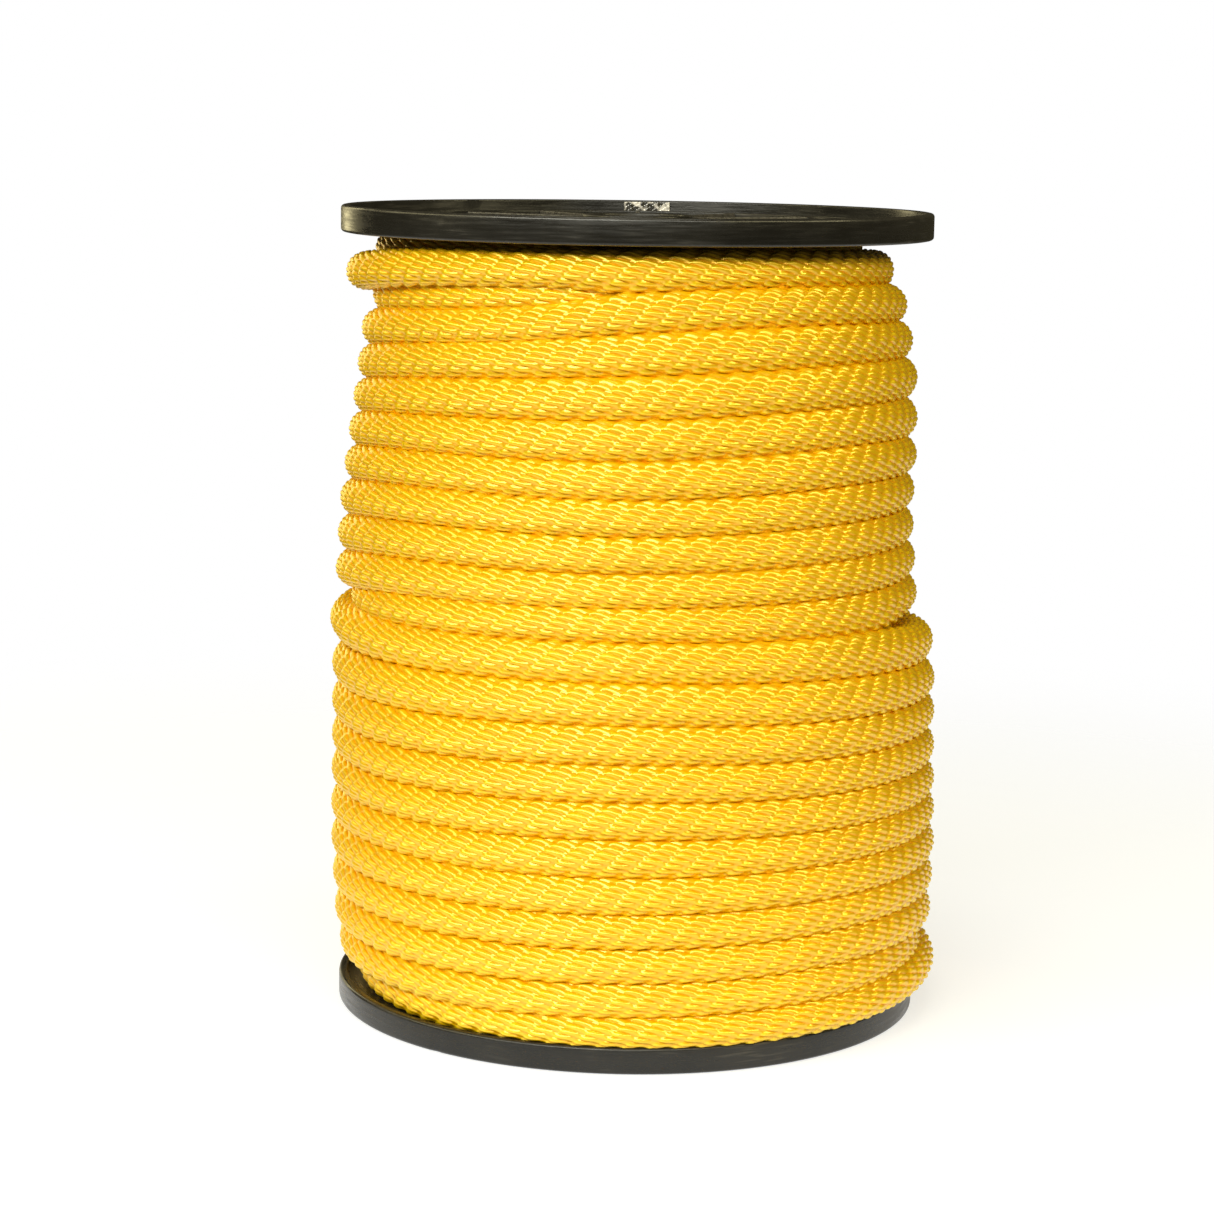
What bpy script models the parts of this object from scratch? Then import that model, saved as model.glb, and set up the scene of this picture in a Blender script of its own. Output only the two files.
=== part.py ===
"""Rope reel: a moulded plastic reel that stands on one flange, wound full of solid-braid rope.

Frame: metres, +Z up. The origin is the centre of the lower flange's standing edge, and the
reel's axis is Z. Angles run counter-clockwise seen from above: 0 degrees is +X, 270 is -Y.
Run with: blender --background --python part.py
"""

import math

import bmesh
import bpy

# Driving dimensions.
FLANGE_DIAMETER = 0.2032
REEL_HEIGHT = 0.277
RIM_HEIGHT = 0.009
ARBOR_DIAMETER = 0.0318
ROPE_DIAMETER = 0.0125
BARREL_OUTER_RADIUS = 0.039
BARREL_WALL = 0.004
GAP = 0.0003  # clearance between touching pieces

# Flange section. Heights are measured from the flange's outer edge.
FLANGE_RADIUS = FLANGE_DIAMETER / 2
RIM_WALL = 0.003
RIM_ROUNDING = 0.0006
WEB_OUTER_FACE = 0.0046
WEB_INNER_FACE = 0.0070
HUB_RIB_TOP = 0.0022
HUB_RIB_WALL = 0.003
RING_RIB_TOP = 0.0029
RING_RIB_INNER_RADIUS = 0.069
RING_RIB_WALL = 0.0022
SPOKE_COUNT = 12
SPOKE_TOP = 0.0031
SPOKE_WIDTH = 0.002
OVERLAP = 0.0003  # how far a joined feature runs into its flange

# The fingers that carry the barrel, and the barbs that hold them in its windows.
FINGER_COUNT = 3
FINGER_HALF_ANGLE = 18
FINGER_WALL = 0.0028
FINGER_END = 0.019
BARB_HALF_ANGLE = 8
BARB_HEIGHT = 0.0024
BARB_LOW, BARB_HIGH = 0.0132, 0.0168
WINDOW_HALF_ANGLE = 10
WINDOW_LOW, WINDOW_HIGH = 0.0126, 0.0174
NOTCH_HALF_ANGLE = 40
NOTCH_DEPTH = 0.0136
NOTCH_ANGLE = 90

# The rope. Its ends are tubes under the rope's diameter, because wound rope is pressed.
ROPE_TUBE_RADIUS = 0.44 * ROPE_DIAMETER
ROUTE_STEP = 15  # degrees between a rope end's points
TUBE_RESOLUTION = 3

# Outline of the winding, from its lowest edge up: radius and height.
WINDING_OUTLINE = (
    (0.0980, WEB_INNER_FACE + GAP),
    (0.0980, RIM_HEIGHT + GAP),
    (0.1040, 0.0130),
    (0.1070, 0.0300),
    (0.1080, 0.0600),
    (0.1070, 0.1200),
    (0.1050, 0.1340),
    (0.1015, 0.1460),
    (0.1000, 0.1680),
    (0.0980, 0.2000),
    (0.0950, 0.2260),
    (0.0920, 0.2380),
    (0.0722, 0.2382),
    (0.0722, REEL_HEIGHT - WEB_INNER_FACE - GAP),
)

# The last turns, which climb over the winding's shoulder; the end tucks in beneath them.
# Each station is an angle in degrees, a radius and a height.
OUTER_END_ROUTE = (
    (267, 0.0875, 0.2454),
    (285, 0.0874, 0.2478),
    (310, 0.0874, 0.2484),
    (335, 0.0872, 0.2472),
    (360, 0.0869, 0.2455),
    (405, 0.0885, 0.2473),
    (450, 0.0913, 0.2499),
    (495, 0.0930, 0.2520),
    (540, 0.0936, 0.2540),
    (562, 0.0926, 0.2566),
    (585, 0.0910, 0.2590),
    (607, 0.0894, 0.2600),
    (630, 0.0878, 0.2602),
    (675, 0.0845, 0.2597),
    (720, 0.0816, 0.2577),
    (765, 0.0800, 0.2560),
    (810, 0.0792, 0.2512),
    (855, 0.0810, 0.2494),
    (900, 0.0838, 0.2464),
    (925, 0.0850, 0.2480),
)

# The first end, from its tip in the barrel's hollow up and out towards the barrel's notch.
INNER_END_ROUTE = (
    (28, 0.0250, 0.2150),
    (38, 0.0258, 0.2280),
    (48, 0.0265, 0.2420),
    (60, 0.0272, 0.2530),
    (74, 0.0290, 0.2600),
    (88, 0.0328, 0.2634),
)

# A short strip of clear tape on the inside of the upper rim, at the back.
TAPE_ANGLE = 88
TAPE_HALF_ANGLE = 5
TAPE_THICKNESS = 0.0004
TAPE_TOP_MARGIN = 0.0006

FLANGE_SEGMENTS = 64
WINDING_SEGMENTS = 64
BARREL_SEGMENTS = 48
DEGREES_PER_ARC_STEP = 6

PLASTIC_BLACK = (0.018, 0.017, 0.016)
ROPE_YELLOW = (0.94, 0.54, 0.0)
TAPE_GREY = (0.75, 0.76, 0.78)


def clear_scene():
    for old in list(bpy.data.objects):
        bpy.data.objects.remove(old, do_unlink=True)


def material(name, colour, roughness, metallic=0.0):
    made = bpy.data.materials.new(name)
    made.use_nodes = True
    shader = made.node_tree.nodes["Principled BSDF"]
    shader.inputs["Base Color"].default_value = (*colour, 1.0)
    shader.inputs["Roughness"].default_value = roughness
    shader.inputs["Metallic"].default_value = metallic
    return made


def on_ring(degrees, radius, height):
    angle = math.radians(degrees)
    return (radius * math.cos(angle), radius * math.sin(angle), height)


def object_from(bm, name, surface=None):
    bmesh.ops.recalc_face_normals(bm, faces=bm.faces[:])
    mesh = bpy.data.meshes.new(name)
    bm.to_mesh(mesh)
    bm.free()
    obj = bpy.data.objects.new(name, mesh)
    bpy.context.collection.objects.link(obj)
    if surface:
        mesh.materials.append(surface)
        mesh.shade_smooth()
        mesh.set_sharp_from_angle(angle=math.radians(30))
    return obj


def turned(bm, outline, segments):
    """Turns a closed outline of (radius, height) points about Z."""
    rings = []
    for segment in range(segments):
        degrees = 360 * segment / segments
        rings.append([bm.verts.new(on_ring(degrees, r, z)) for r, z in outline])
    for here, there in zip(rings, rings[1:] + rings[:1]):
        for i in range(len(outline)):
            j = (i + 1) % len(outline)
            bm.faces.new((here[i], here[j], there[j], there[i]))


def arc_block(bm, middle, half_angle, inner, outer, low, high):
    """A closed block between two radii and two heights, curved about Z."""
    steps = max(2, round(2 * half_angle / DEGREES_PER_ARC_STEP))
    sections = []
    for step in range(steps + 1):
        degrees = middle - half_angle + 2 * half_angle * step / steps
        corners = ((inner, low), (outer, low), (outer, high), (inner, high))
        sections.append([bm.verts.new(on_ring(degrees, r, z)) for r, z in corners])
    for before, after in zip(sections, sections[1:]):
        for i in range(4):
            j = (i + 1) % 4
            bm.faces.new((before[i], before[j], after[j], after[i]))
    bm.faces.new(sections[0])
    bm.faces.new(sections[-1][::-1])


def spoke(bm, degrees, inner, outer, low, high):
    """A straight rib of even width that runs outwards from the hub."""
    angle = math.radians(degrees)
    out = (math.cos(angle), math.sin(angle))
    side = (-out[1] * SPOKE_WIDTH / 2, out[0] * SPOKE_WIDTH / 2)
    rings = []
    for height in (low, high):
        ring = []
        for radius, way in ((inner, -1), (outer, -1), (outer, 1), (inner, 1)):
            x = radius * out[0] + way * side[0]
            y = radius * out[1] + way * side[1]
            ring.append(bm.verts.new((x, y, height)))
        rings.append(ring)
    for i in range(4):
        j = (i + 1) % 4
        bm.faces.new((rings[0][i], rings[0][j], rings[1][j], rings[1][i]))
    bm.faces.new(rings[0])
    bm.faces.new(rings[1][::-1])


def helper(obj):
    obj.hide_render = True
    obj.display_type = "WIRE"
    return obj


def combine(obj, other, operation):
    """Joins a feature to a piece or cuts it away. The feature follows the piece wherever it is placed."""
    other.parent = obj
    step = obj.modifiers.new(other.name, "BOOLEAN")
    step.operation = operation
    step.solver = "EXACT"
    step.object = helper(other)


def finger_angles():
    return [90 + 360 / FINGER_COUNT * i for i in range(FINGER_COUNT)]


def flange_outline():
    """The flange's section: rim, web, ring rib and hub rib, as points round it."""
    rim_inside = FLANGE_RADIUS - RIM_WALL
    arbor = ARBOR_DIAMETER / 2
    hub = arbor + HUB_RIB_WALL
    ring_inside = RING_RIB_INNER_RADIUS
    ring_outside = RING_RIB_INNER_RADIUS + RING_RIB_WALL
    soft = RIM_ROUNDING
    return (
        (FLANGE_RADIUS, soft),
        (FLANGE_RADIUS, RIM_HEIGHT - soft),
        (FLANGE_RADIUS - soft, RIM_HEIGHT),
        (rim_inside + soft, RIM_HEIGHT),
        (rim_inside, RIM_HEIGHT - soft),
        (rim_inside, WEB_INNER_FACE),
        (arbor, WEB_INNER_FACE),
        (arbor, HUB_RIB_TOP),
        (hub, HUB_RIB_TOP),
        (hub, WEB_OUTER_FACE),
        (ring_inside, WEB_OUTER_FACE),
        (ring_inside, RING_RIB_TOP),
        (ring_outside, RING_RIB_TOP),
        (ring_outside, WEB_OUTER_FACE),
        (rim_inside, WEB_OUTER_FACE),
        (rim_inside, soft),
        (rim_inside + soft, 0),
        (FLANGE_RADIUS - soft, 0),
    )


def flange_features(name):
    """The spokes on the web's outer face, and the barbed fingers on its inner face."""
    bm = bmesh.new()
    hub = ARBOR_DIAMETER / 2 + HUB_RIB_WALL - OVERLAP
    for i in range(SPOKE_COUNT):
        degrees = 360 / SPOKE_COUNT * i
        ring = RING_RIB_INNER_RADIUS + OVERLAP
        spoke(bm, degrees, hub, ring, SPOKE_TOP, WEB_OUTER_FACE + OVERLAP)
    outside = BARREL_OUTER_RADIUS - BARREL_WALL - GAP
    inside = outside - FINGER_WALL
    root = WEB_INNER_FACE - OVERLAP
    for degrees in finger_angles():
        arc_block(bm, degrees, FINGER_HALF_ANGLE, inside, outside, root, FINGER_END)
    return object_from(bm, name)


def barbs(name):
    bm = bmesh.new()
    face = BARREL_OUTER_RADIUS - BARREL_WALL - GAP
    for degrees in finger_angles():
        arc_block(
            bm, degrees, BARB_HALF_ANGLE, face - OVERLAP, face + BARB_HEIGHT, BARB_LOW, BARB_HIGH
        )
    return object_from(bm, name)


def make_flange(name, plastic):
    bm = bmesh.new()
    turned(bm, flange_outline(), FLANGE_SEGMENTS)
    flange = object_from(bm, name, plastic)
    combine(flange, flange_features(name + "_features"), "UNION")
    combine(flange, barbs(name + "_barbs"), "UNION")
    return flange


def turn_over(obj):
    """Stands the same moulding on the other end of the reel."""
    obj.rotation_euler = (math.pi, 0, 0)
    obj.location = (0, 0, REEL_HEIGHT)


def make_barrel(plastic):
    low = WEB_INNER_FACE + GAP
    high = REEL_HEIGHT - low
    inside = BARREL_OUTER_RADIUS - BARREL_WALL
    bm = bmesh.new()
    outline = ((BARREL_OUTER_RADIUS, high), (inside, high), (inside, low), (BARREL_OUTER_RADIUS, low))
    turned(bm, outline, BARREL_SEGMENTS)
    barrel = object_from(bm, "core_barrel", plastic)
    bm = bmesh.new()
    near, far = inside - BARREL_WALL, BARREL_OUTER_RADIUS + BARREL_WALL
    for degrees in finger_angles():
        arc_block(bm, degrees, WINDOW_HALF_ANGLE, near, far, WINDOW_LOW, WINDOW_HIGH)
        top_low, top_high = REEL_HEIGHT - WINDOW_HIGH, REEL_HEIGHT - WINDOW_LOW
        arc_block(bm, -degrees, WINDOW_HALF_ANGLE, near, far, top_low, top_high)
    arc_block(bm, NOTCH_ANGLE, NOTCH_HALF_ANGLE, near, far, high - NOTCH_DEPTH, high + GAP)
    combine(barrel, object_from(bm, "barrel_openings"), "DIFFERENCE")
    return barrel


def make_winding(rope):
    """The wound rope as one turned body, true to its outer shape."""
    inside = BARREL_OUTER_RADIUS + GAP
    low, high = WINDING_OUTLINE[0][1], WINDING_OUTLINE[-1][1]
    bm = bmesh.new()
    turned(bm, (*WINDING_OUTLINE, (inside, high), (inside, low)), WINDING_SEGMENTS)
    return object_from(bm, "rope_winding", rope)


def between(stations, degrees):
    """The smooth curve through the stations, at one angle: its radius and height."""
    last = len(stations) - 2
    i = min(last, max(0, sum(1 for s in stations if s[0] <= degrees) - 1))
    before = stations[max(0, i - 1)]
    start, end = stations[i], stations[i + 1]
    after = stations[min(len(stations) - 1, i + 2)]
    t = (degrees - start[0]) / (end[0] - start[0])
    values = []
    for k in (1, 2):
        span = end[0] - start[0]
        rise_in = (end[k] - before[k]) / (end[0] - before[0]) * span
        rise_out = (after[k] - start[k]) / (after[0] - start[0]) * span
        h00 = 2 * t**3 - 3 * t**2 + 1
        h10 = t**3 - 2 * t**2 + t
        h01 = 3 * t**2 - 2 * t**3
        h11 = t**3 - t**2
        values.append(h00 * start[k] + h10 * rise_in + h01 * end[k] + h11 * rise_out)
    return values


def make_rope_end(name, stations, step, rope):
    """A tube along the smooth curve through the stations, with a point every few degrees."""
    first, last = stations[0][0], stations[-1][0]
    count = round((last - first) / step)
    curve = bpy.data.curves.new(name, "CURVE")
    curve.dimensions = "3D"
    curve.bevel_depth = ROPE_TUBE_RADIUS
    curve.bevel_resolution = TUBE_RESOLUTION
    curve.use_fill_caps = True
    line = curve.splines.new("POLY")
    line.points.add(count)
    for i in range(count + 1):
        degrees = first + (last - first) * i / count
        radius, height = between(stations, degrees)
        line.points[i].co = (*on_ring(degrees, radius, height), 1)
    curve.materials.append(rope)
    obj = bpy.data.objects.new(name, curve)
    bpy.context.collection.objects.link(obj)
    return obj


def make_rim_tape(tape):
    bm = bmesh.new()
    outer = FLANGE_RADIUS - RIM_WALL - GAP
    low = REEL_HEIGHT - WEB_OUTER_FACE + GAP
    high = REEL_HEIGHT - TAPE_TOP_MARGIN
    arc_block(bm, TAPE_ANGLE, TAPE_HALF_ANGLE, outer - TAPE_THICKNESS, outer, low, high)
    return object_from(bm, "rim_tape", tape)


def main():
    clear_scene()
    plastic = material("moulded_black_plastic", PLASTIC_BLACK, 0.38)
    core_plastic = material("core_black_plastic", PLASTIC_BLACK, 0.5)
    rope = material("yellow_solid_braid", ROPE_YELLOW, 0.45)
    rope_ends = material("yellow_solid_braid_ends", ROPE_YELLOW, 0.45)
    tape = material("clear_tape", TAPE_GREY, 0.15)
    make_flange("bottom_flange", plastic)
    turn_over(make_flange("top_flange", plastic))
    make_barrel(core_plastic)
    make_winding(rope)
    make_rope_end("rope_outer_end", OUTER_END_ROUTE, ROUTE_STEP, rope_ends)
    make_rope_end("rope_inner_end", INNER_END_ROUTE, ROUTE_STEP / 2, rope_ends)
    make_rim_tape(tape)


main()
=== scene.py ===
"""The looks of the rope reel: one continuous braided rope, moulded flanges, soft studio light."""

import math

import bmesh
import bpy
import numpy as np
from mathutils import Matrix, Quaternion, Vector


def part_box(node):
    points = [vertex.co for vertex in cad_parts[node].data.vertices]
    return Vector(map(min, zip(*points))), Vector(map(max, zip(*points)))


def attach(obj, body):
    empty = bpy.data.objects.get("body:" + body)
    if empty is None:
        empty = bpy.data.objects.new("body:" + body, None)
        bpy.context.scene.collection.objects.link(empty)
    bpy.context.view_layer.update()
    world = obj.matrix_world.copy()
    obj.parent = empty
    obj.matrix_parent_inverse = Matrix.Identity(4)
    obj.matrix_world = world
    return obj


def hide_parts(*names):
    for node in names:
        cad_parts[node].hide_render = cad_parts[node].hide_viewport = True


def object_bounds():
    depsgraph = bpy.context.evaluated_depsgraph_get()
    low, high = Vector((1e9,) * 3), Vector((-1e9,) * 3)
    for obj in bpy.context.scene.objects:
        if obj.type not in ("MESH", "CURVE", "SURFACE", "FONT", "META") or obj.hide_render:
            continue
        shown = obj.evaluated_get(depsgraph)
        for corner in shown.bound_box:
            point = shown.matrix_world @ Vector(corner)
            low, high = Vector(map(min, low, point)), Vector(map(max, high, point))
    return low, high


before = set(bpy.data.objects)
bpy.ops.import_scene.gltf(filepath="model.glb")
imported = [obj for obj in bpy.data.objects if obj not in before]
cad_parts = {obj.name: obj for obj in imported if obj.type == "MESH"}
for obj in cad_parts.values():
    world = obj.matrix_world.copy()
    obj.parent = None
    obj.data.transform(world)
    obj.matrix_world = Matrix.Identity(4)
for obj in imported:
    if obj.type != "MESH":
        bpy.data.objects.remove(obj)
CAD_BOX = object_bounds()

MM = 0.001
REEL_LOW, REEL_HIGH = CAD_BOX[0][2], CAD_BOX[1][2]
REEL_HEIGHT = REEL_HIGH - REEL_LOW
FLANGE_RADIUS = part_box("top_flange")[1][0]
BARREL_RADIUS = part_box("core_barrel")[1][0]
GAP = 0.1 * MM
RIM_HEIGHT = 9 * MM
RIM_WALL = 3 * MM
RIM_INSIDE = FLANGE_RADIUS - RIM_WALL
WEB_OUTER_FACE, WEB_INNER_FACE = 4.6 * MM, 7 * MM  # from the flange's outer edge
RIM_ROUNDING, RIB_ROUNDING = 1.1 * MM, 0.5 * MM
ARBOR_RADIUS = 15.9 * MM
HUB_RIB_TOP, HUB_RIB_WALL = 2.2 * MM, 3 * MM
RING_RIB_RADIUS, RING_RIB_WALL, RING_RIB_TOP = 69 * MM, 2.2 * MM, 2.9 * MM
SPOKES, SPOKE_WIDTH, SPOKE_TOP = 12, 2 * MM, 3.1 * MM
# The fingers that reach into the barrel, and their barbs. Angles are in degrees.
FINGERS, FIRST_FINGER, FINGER_HALF_ANGLE = 3, 90, 18
FINGER_WALL, FINGER_END, FINGER_GAP = 2.8 * MM, 19 * MM, 0.3 * MM
BARREL_WALL = 4 * MM
BARB_HALF_ANGLE, BARB_HEIGHT, BARB_SPAN = 8, 2.4 * MM, (13.2 * MM, 16.8 * MM)
FLANGE_SEGMENTS, ARC_STEPS = 256, 8
FLANGE_CREASE = math.radians(40)
# The strip of tape: where its middle lies and how far it reaches, in degrees, then its size.
TAPE_ANGLE, TAPE_HALF_ANGLE, TAPE_THICKNESS = 88, 5, 0.3 * MM
TAPE_INSET, TAPE_MARGINS = 0.5 * MM, (0.5 * MM, 0.6 * MM)
TAPE_COLUMNS, TAPE_ROWS = 61, 13
# Knocks in the rims: angle, spread in degrees, height, reach and depth.
NICKS = (
    (150, 0.7, 0.5 * MM, 2.5 * MM, 0.25 * MM),
    (128, 0.5, 0.5 * MM, 1.5 * MM, 0.3 * MM),
    (60, 0.6, 0.5 * MM, 1.5 * MM, 0.2 * MM),
    (232, 0.5, 0.5 * MM, 2 * MM, 0.3 * MM),
)

# The rope. It is soft, so turns that touch are pressed flat against each other.
ROPE_DIAMETER = 12.5 * MM
BODY_RADIUS = 6.15 * MM
STITCH_DEPTH = 0.95 * MM
STITCH_CREST = 0.3 * MM  # above the body
HEAD_SLANT = 0.45  # of a stitch's length, from one side of its ridge to the other
HEAD_LENGTH = 0.22  # of a stitch's length
TAIL_START = 0.35  # of a stitch's length, from where it sinks to its tail
HEAD_LOW, TAIL_LOW = 0.05, 0.35  # of a stitch's height
CREST_BREADTH = 2.3  # 2 is a parabola across the stitch
# Painted light on the rope: a painted highlight at each stitch's head, painted shade between
# stitches.
# It runs from 0 at a stitch's head, by its body, to 1 in the gaps between stitches.
BODY_SHADE = 0.25
# Painted shade at the start of each head and towards each tail, then where the painted highlight
# lies.
SHADED_HEAD, SHADED_HEAD_LENGTH = 0.7, 0.1
SHADED_TAIL, SHADED_TAIL_START = 0.35, 0.45
PAINTED_HIGHLIGHT_PLACE, PAINTED_HIGHLIGHT_SPREAD = 0.15, 0.09
SCATTER = (31.7, 17.3, 4375.85)  # any three numbers that leave stitches' tones in no order
RIDGES = 15
COLUMNS_PER_RIDGE = 5
STITCH_LENGTH = 6.12 * MM
RINGS_PER_STITCH = 9
RIDGE_SLOPE = math.radians(18)
CREASE_ANGLE = math.radians(56)  # between stitches
COARSE_COLUMNS = 15
COARSE_RING = 6 * MM
PRESSED_INTO = 0.5 * MM  # how far a turn reaches past the plane between it and the next
SQUEEZED_RELIEF = 0.15  # what is left of a stitch's depth where turns press
RELIEF_RETURNS = 1.0 * MM  # how far clear of the pressed face the depth is whole again
WIDEST_SPREAD = 1.6 * MM  # how far a turn spreads to meet its neighbour
SPREAD_FADES = (1.3 * MM, 1.2 * MM)  # how far off a neighbour must lie, and over what reach
LEAST_FACING = 0.3  # the cosine below which a neighbour's face comes no further off
NEIGHBOURS = 6  # how many of the nearest turns are looked at

# The rope's colours, from a painted highlight on the stitches' heads, by the yarn's own yellow, to
# painted shade between stitches.
ROPE_PAINTED_HIGHLIGHT = (0.88, 0.64, 0.0)
ROPE_LIGHT = (0.82, 0.52, 0.0)
ROPE_PAINTED_HALF_SHADE = (0.82, 0.48, 0.0)
ROPE_PAINTED_SHADE = (0.82, 0.36, 0.0)
PLASTIC_DARK = (0.0075, 0.007, 0.006)
PLASTIC_LIGHT = (0.016, 0.015, 0.013)
# Scuffs and paler edges: wear, and on the edges partly a painted highlight.
PLASTIC_WORN_AND_HIGHLIT = (0.09, 0.083, 0.07)
# The film's colours: dark, and a painted glint for the light reflected by its crinkles.
FILM_DARK = (0.02, 0.019, 0.017)
FILM_PAINTED_GLINT = (0.62, 0.6, 0.57)

# How it is wound. Angles are degrees, counter-clockwise seen from above: 180 is the left side,
# 270 the front, 360 the right side and 450 the back.
LAYERS = 6
INNER_LOW, INNER_HIGH = 13.3 * MM, 262 * MM
HIDDEN_PITCH = ROPE_DIAMETER - 0.2 * MM
STEP = 5  # degrees between the centreline's points
LAYER_CHANGE = 45  # degrees either side of a layer's end in which the rope steps outwards
SMOOTHING = 11  # degrees
SETTLING = 30  # degrees of the first layer that give way to the rope's first end
FIRST_LAYER_RADIUS = BARREL_RADIUS + 6.5 * MM
TOP_TURN_HEIGHT = 263.5 * MM
TOP_TURN_LEVEL = 320  # degrees for which the fifth layer's first turn shows before it drops
TOP_TURN_DROP = (240, 350)  # angles between which it drops
FIFTH_LAYER_HIGH = 238 * MM
BRAIDED_BEFORE = 90  # degrees before the outer layer from which the rope is braided

# The outer layer's turns from the lowest up: each one's height in mm at these angles.
TURN_ANGLES = (180, 207, 273, 323, 360)
TURN_HEIGHTS = (
    (12.6, 12.8, 13.7, 15.0, 16.6),
    (20.8, 21.6, 24.8, 26.0, 25.6),
    (32.0, 33.3, 36.4, 37.2, 34.8),
    (44.5, 45.8, 47.8, 49.0, 46.8),
    (57.0, 57.8, 59.5, 60.0, 58.8),
    (69.0, 70.1, 72.0, 71.4, 70.4),
    (81.6, 81.9, 84.3, 82.8, 81.2),
    (93.8, 93.6, 96.6, 94.5, 92.8),
    (106.0, 105.6, 109.1, 106.7, 105.0),
    (118.6, 119.6, 122.0, 119.0, 116.2),
    (134.6, 134.8, 135.7, 133.0, 129.6),
    (142.8, 145.2, 147.4, 146.7, 146.6),
    (151.0, 155.6, 158.0, 158.7, 158.6),
    (163.5, 168.0, 169.6, 170.8, 170.2),
    (176.0, 180.0, 181.4, 183.2, 182.2),
    (188.0, 191.8, 193.2, 196.0, 194.2),
    (199.6, 203.3, 206.1, 208.8, 206.8),
    (211.2, 214.9, 219.5, 222.0, 221.0),
    (222.6, 226.4, 233.6, 235.6, 233.6),
)
OUTER_START = 90  # degrees: the back, where the lowest turn begins

# Outside of the winding: height, mean radius and how far its middle lies to the right, in mm.
OUTLINE = (
    (10, 103.5, 4.0),
    (34, 105.4, 2.1),
    (60, 106.3, 1.8),
    (95, 105.6, 1.4),
    (128, 105.2, 1.0),
    (137, 103.4, -0.5),
    (146, 101.4, -2.0),
    (175, 99.5, -2.3),
    (198, 98.5, -0.4),
    (222, 96.6, 0.8),
    (246, 93.5, 0.0),
    (264, 91.0, -7.5),
)

# Places where a turn lies further out or in: turn, angle, spread in degrees, outwards in mm.
PUSHES = (
    (0, 180, 50, -5.5),
    (0, 370, 35, 2.2),
    (1, 375, 40, -4.5),
    (11, 172, 34, -7.5),
    (10, 180, 30, 1.0),
)

# The last turns, past the winding's shoulder, as in the CAD, and the few points below them.
# Each station is an angle in degrees, a radius and a height.
OUTER_END_ROUTE = (
    (165, 0.0880, 0.2340),
    (180, 0.0881, 0.2349),
    (210, 0.0880, 0.2380),
    (232, 0.0879, 0.2400),
    (250, 0.0877, 0.2424),
    (267, 0.0875, 0.2454),
    (285, 0.0874, 0.2478),
    (310, 0.0874, 0.2484),
    (335, 0.0872, 0.2472),
    (360, 0.0869, 0.2455),
    (405, 0.0885, 0.2473),
    (450, 0.0913, 0.2499),
    (495, 0.0930, 0.2520),
    (540, 0.0936, 0.2540),
    (562, 0.0926, 0.2566),
    (585, 0.0910, 0.2590),
    (607, 0.0894, 0.2600),
    (630, 0.0878, 0.2602),
    (675, 0.0845, 0.2597),
    (720, 0.0816, 0.2577),
    (765, 0.0800, 0.2560),
    (810, 0.0792, 0.2512),
    (855, 0.0810, 0.2494),
    (900, 0.0838, 0.2464),
    (925, 0.0850, 0.2480),
    (945, 0.0856, 0.2498),
    (965, 0.0850, 0.2514),
    (985, 0.0826, 0.2526),
    (1000, 0.0795, 0.2532),
)

# The first end, from its tip in the barrel's hollow up and out through the barrel's notch.
INNER_END_ROUTE = (
    (28, 0.0250, 0.2150),
    (38, 0.0258, 0.2280),
    (48, 0.0265, 0.2420),
    (60, 0.0272, 0.2530),
    (74, 0.0290, 0.2600),
    (88, 0.0328, 0.2634),
    (103, 0.0400, 0.2636),
    (120, 0.0455, 0.2630),
)

# The camera: a long lens just over a metre away, a little above the reel's middle.
CAMERA_DISTANCE = 1.1015
CAMERA_ELEVATION = math.radians(8.92)
CAMERA_ROLL = math.radians(0.895)
AIM = Vector((-0.0084, 0, 0.1381))
LENS, SENSOR = 93.2, 36

WORLD_FILL = 0.06
FLOOR_RADIUS, FLOOR_WHOLE = 0.75, 0.35  # the second is the share that doesn't fade
FLOOR_DROP = 0.2 * MM
FLOOR_COLOUR, FLOOR_GLOW = (0.46, 0.49, 0.57), 0.6
WARM = (1, 0.87, 0.48)
PALE = (1, 0.96, 0.8)
# Strip lights in an arc round the front: degrees to the right of the front, power and colour.
STRIPS = (
    (-105, 5, WARM),
    (-75, 10, WARM),
    (-45, 17, PALE),
    (-15, 23, PALE),
    (15, 10, PALE),
    (45, 8, WARM),
    (75, 12, WARM),
)
STRIP_DISTANCE, STRIP_HEIGHT, STRIP_SIZE = 1.8, 1.1, (0.95, 0.45)
# Name, place, size, power and colour.
SOFT_BOXES = (
    ("back_left", (-1.0, 1.5, 0.5), (0.5, 1.0), 4, WARM),
    ("top", (-0.1, -0.1, 1.5), (1.0, 0.5), 5, PALE),
)


# ---------------------------------------------------------------- camera and light


def add_object(name, data):
    made = bpy.data.objects.new(name, data)
    bpy.context.collection.objects.link(made)
    return made


def add_camera():
    data = bpy.data.cameras.new("photo_camera")
    data.sensor_width = SENSOR
    data.lens = LENS
    camera = add_object("photo_camera", data)
    flat = CAMERA_DISTANCE * math.cos(CAMERA_ELEVATION)
    camera.location = (0, -flat, AIM.z + CAMERA_DISTANCE * math.sin(CAMERA_ELEVATION))
    facing = (AIM - camera.location).to_track_quat("-Z", "Y")
    camera.rotation_mode = "QUATERNION"
    camera.rotation_quaternion = facing @ Quaternion((0, 0, 1), CAMERA_ROLL)
    bpy.context.scene.camera = camera


def add_area_light(name, place, size, power, colour, aim=(0, 0, 0.14)):
    data = bpy.data.lights.new(name, "AREA")
    data.shape = "RECTANGLE"
    data.size, data.size_y = size
    data.energy = power
    data.color = colour
    light = add_object(name, data)
    light.location = place
    light.rotation_euler = (Vector(aim) - light.location).to_track_quat("-Z", "Y").to_euler()


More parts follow.
